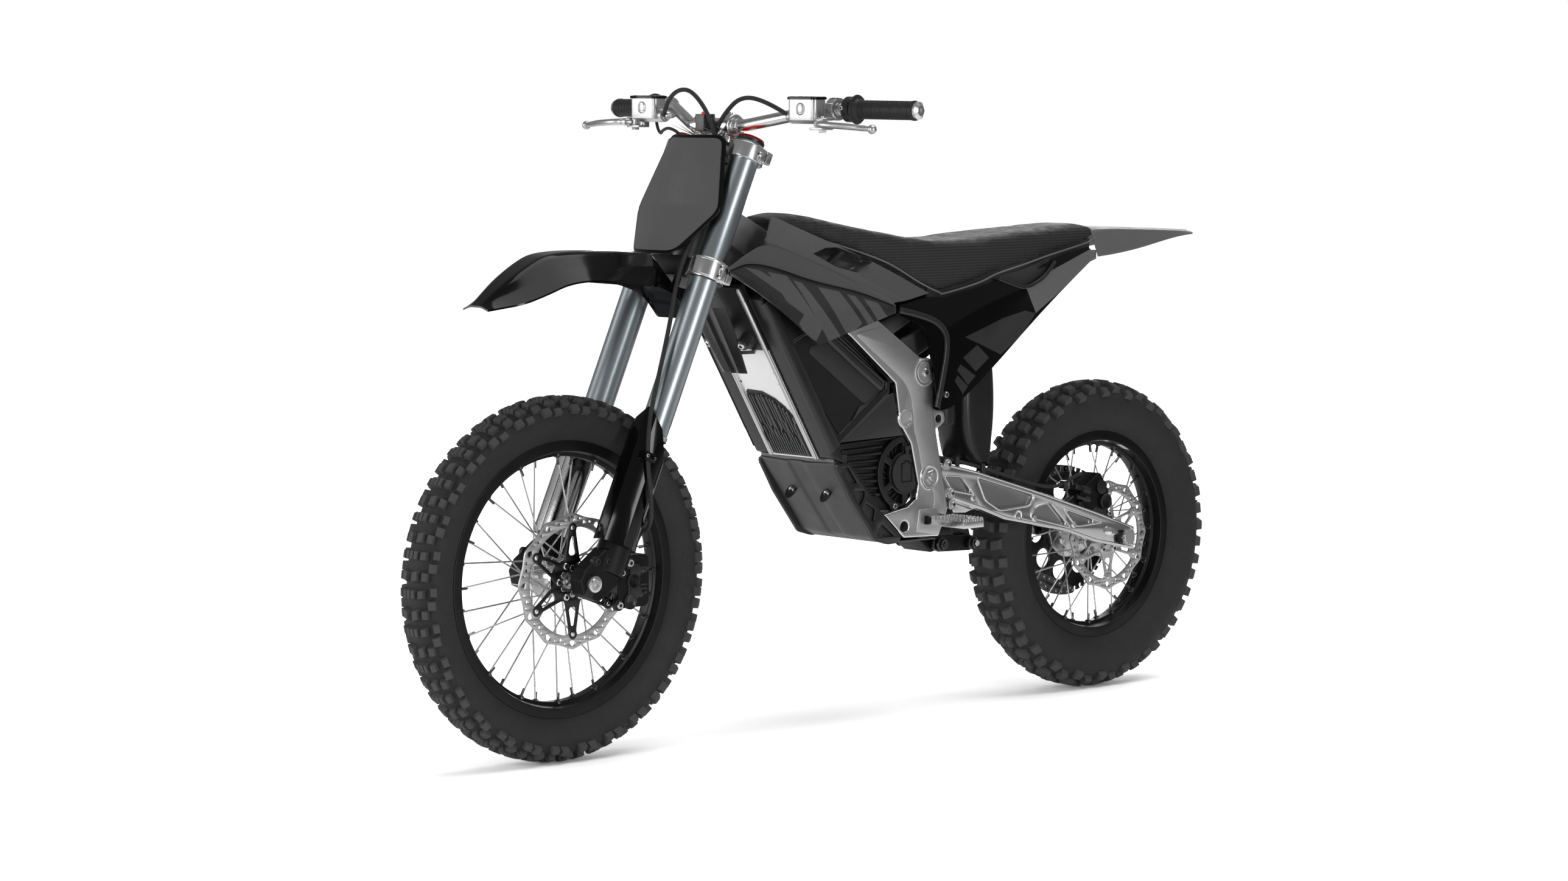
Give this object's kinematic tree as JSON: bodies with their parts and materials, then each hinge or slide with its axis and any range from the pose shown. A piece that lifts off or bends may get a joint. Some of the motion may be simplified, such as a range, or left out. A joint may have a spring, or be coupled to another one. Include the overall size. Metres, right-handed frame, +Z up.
{
  "type": "electric off-road motorcycle",
  "caption": "Electric off-road motorcycle with a telescopic fork, a linkage rear suspension, wire-spoked knobby wheels and angular bodywork.",
  "frame": {"origin": "on the ground under the middle of the machine: the middle of its outer box, on the centre plane, at the height of the tyres lowest points", "axes": "+X forward, +Y to the rider left, +Z up"},
  "size_m": [1.9534, 0.8012, 1.1735],
  "materials": {
    "tyre_rubber": "matte",
    "black_rubber": "matte",
    "black_alloy": "satin",
    "silver_alloy": "satin",
    "grey_forged_alloy": "satin",
    "steel": "brushed",
    "fork_tube_alloy": "polished",
    "red_alloy": "anodised",
    "chrome": "polished",
    "gloss_black": "gloss",
    "black_plastic": "matte",
    "grey_plastic": "satin",
    "carbon_grey": "satin",
    "shroud_grey": "satin",
    "seat_cover": "textured"
  },
  "bodies": {
    "frame": {"main_frame": "grey_forged_alloy", "frame_plates": "grey_forged_alloy", "battery_case": "black_plastic", "heat_sink": "silver_alloy", "air_deflector": "grey_plastic", "skid_plate": "grey_plastic", "motor_case": "black_alloy", "fan_cover": "black_plastic", "seat": "seat_cover", "tank_covers": "carbon_grey", "lower_shrouds": "shroud_grey", "side_panels": "gloss_black", "rear_fender": "grey_plastic", "inner_mudguard": "black_plastic", "footpeg_brackets": "black_alloy"},
    "steering": {"fork_tubes": "fork_tube_alloy", "fork_caps": "red_alloy", "triple_clamps": "silver_alloy", "handlebar": "silver_alloy", "left_grip": "black_rubber", "master_cylinders": "silver_alloy", "power_switch": "black_plastic", "number_plate": "grey_plastic", "front_fender": "gloss_black", "front_brake_hose": "black_rubber", "bar_lines": "black_rubber"},
    "fork_lower": {"fork_stanchions": "chrome", "fork_feet": "silver_alloy", "fork_guards": "gloss_black", "front_axle": "steel", "front_caliper": "black_alloy"},
    "front_wheel": {"front_tyre": "tyre_rubber", "front_rim": "black_alloy", "front_spokes": "steel", "front_hub": "black_alloy", "front_rotor": "steel"},
    "swingarm": {"swingarm": "silver_alloy", "rear_axle": "steel", "chain": "steel", "rear_caliper": "black_alloy", "rear_brake_hose": "black_rubber"},
    "rear_wheel": {"rear_tyre": "tyre_rubber", "rear_rim": "black_alloy", "rear_spokes": "steel", "rear_hub": "black_alloy", "rear_rotor": "steel", "rear_sprocket": "black_alloy"},
    "drive_sprocket": {"drive_sprocket": "steel"},
    "rocker": {"rocker": "black_alloy"},
    "link_arms": {"link_arms": "black_alloy"},
    "shock_body": {"shock_body": "black_alloy"},
    "shock_shaft": {"shock_shaft": "steel", "shock_spring": "black_alloy"},
    "rear_brake_lever": {"rear_brake_lever": "silver_alloy"},
    "front_brake_lever": {"front_brake_lever": "silver_alloy"},
    "throttle_grip": {"throttle_grip": "black_rubber"},
    "power_button": {"power_button": "black_plastic"},
    "charge_port_lid": {"charge_port_lid": "black_plastic"},
    "footpeg_left": {"footpeg_left": "steel"},
    "footpeg_right": {"footpeg_right": "steel"}
  },
  "joints": [
    {"name": "steering_turn", "type": "hinge", "parent": "frame", "child": "steering", "pos_m": [0.32013, 0, 0.93399], "axis": [-0.4099, 0, 0.9121], "range_deg": [-40, 40], "deforming": ["bar_lines"]},
    {"name": "fork_stroke", "type": "slide", "parent": "steering", "child": "fork_lower", "axis": [-0.4099, 0, 0.9121], "range_m": [0, 0.19], "stiffness_N_per_m": 9000, "springref_m": -0.03, "deforming": ["front_brake_hose"]},
    {"name": "front_wheel_spin", "type": "hinge", "parent": "fork_lower", "child": "front_wheel", "pos_m": [0.65825, 0, 0.3185], "axis": [0, 1, 0], "continuous": true},
    {"name": "swingarm_swing", "type": "hinge", "parent": "frame", "child": "swingarm", "pos_m": [-0.1466, 0, 0.451], "axis": [0, 1, 0], "range_deg": [0, 14], "stiffness_Nm_per_rad": 2500, "springref_deg": -4.58, "deforming": ["chain", "rear_brake_hose"]},
    {"name": "rear_wheel_spin", "type": "hinge", "parent": "swingarm", "child": "rear_wheel", "pos_m": [-0.67675, 0, 0.3], "axis": [0, 1, 0], "continuous": true},
    {"name": "drive_spin", "type": "hinge", "parent": "frame", "child": "drive_sprocket", "pos_m": [-0.072, 0, 0.456], "axis": [0, 1, 0], "continuous": true},
    {"name": "rocker_swing", "type": "hinge", "parent": "swingarm", "child": "rocker", "pos_m": [-0.275, 0, 0.385], "axis": [0, 1, 0], "range_deg": [-26.5, 0]},
    {"name": "link_swing", "type": "hinge", "parent": "frame", "child": "link_arms", "pos_m": [-0.225, 0, 0.316], "axis": [0, 1, 0], "range_deg": [0, 20]},
    {"name": "shock_tilt", "type": "hinge", "parent": "frame", "child": "shock_body", "pos_m": [-0.132, 0, 0.645], "axis": [0, 1, 0], "range_deg": [0, 7.5]},
    {"name": "shock_stroke", "type": "slide", "parent": "shock_body", "child": "shock_shaft", "axis": [0.3714, 0, 0.9285], "range_m": [0, 0.0315], "deforming": ["shock_spring"]},
    {"name": "rear_lever_pull", "type": "hinge", "parent": "steering", "child": "rear_brake_lever", "pos_m": [0.264, 0.25, 1.102], "axis": [0, 0, 1], "range_deg": [0, 16], "stiffness_Nm_per_rad": 2, "springref_deg": -8.59},
    {"name": "front_lever_pull", "type": "hinge", "parent": "steering", "child": "front_brake_lever", "pos_m": [0.264, -0.25, 1.102], "axis": [0, 0, -1], "range_deg": [0, 16], "stiffness_Nm_per_rad": 2, "springref_deg": -8.59},
    {"name": "throttle_twist", "type": "hinge", "parent": "steering", "child": "throttle_grip", "pos_m": [0.18, -0.396, 1.126], "axis": [-0.1611, -0.9869, -0.0101], "range_deg": [0, 70], "stiffness_Nm_per_rad": 0.4, "springref_deg": -22.92},
    {"name": "power_press", "type": "slide", "parent": "steering", "child": "power_button", "axis": [0, 0, -1], "range_m": [0, 0.0025], "stiffness_N_per_m": 600, "springref_m": -0.001},
    {"name": "port_lid_open", "type": "hinge", "parent": "frame", "child": "charge_port_lid", "pos_m": [-0.093, 0.096, 0.507], "axis": [1, 0, 0], "range_deg": [0, 110]},
    {"name": "footpeg_left_fold", "type": "hinge", "parent": "frame", "child": "footpeg_left", "pos_m": [-0.155, 0.109, 0.372], "axis": [1, 0, 0], "range_deg": [0, 70], "stiffness_Nm_per_rad": 6, "springref_deg": -28.65},
    {"name": "footpeg_right_fold", "type": "hinge", "parent": "frame", "child": "footpeg_right", "pos_m": [-0.155, -0.109, 0.372], "axis": [-1, 0, 0], "range_deg": [0, 70], "stiffness_Nm_per_rad": 6, "springref_deg": -28.65}
  ],
  "couplings": [
    {"joint": "drive_spin", "follows": "rear_wheel_spin", "ratio": 4},
    {"joint": "rocker_swing", "follows": "swingarm_swing", "ratio": -1.866},
    {"joint": "link_swing", "follows": "swingarm_swing", "ratio": 1.407},
    {"joint": "shock_tilt", "follows": "swingarm_swing", "ratio": 0.5114},
    {"joint": "shock_stroke", "follows": "swingarm_swing", "m_per_rad": 0.126}
  ]
}
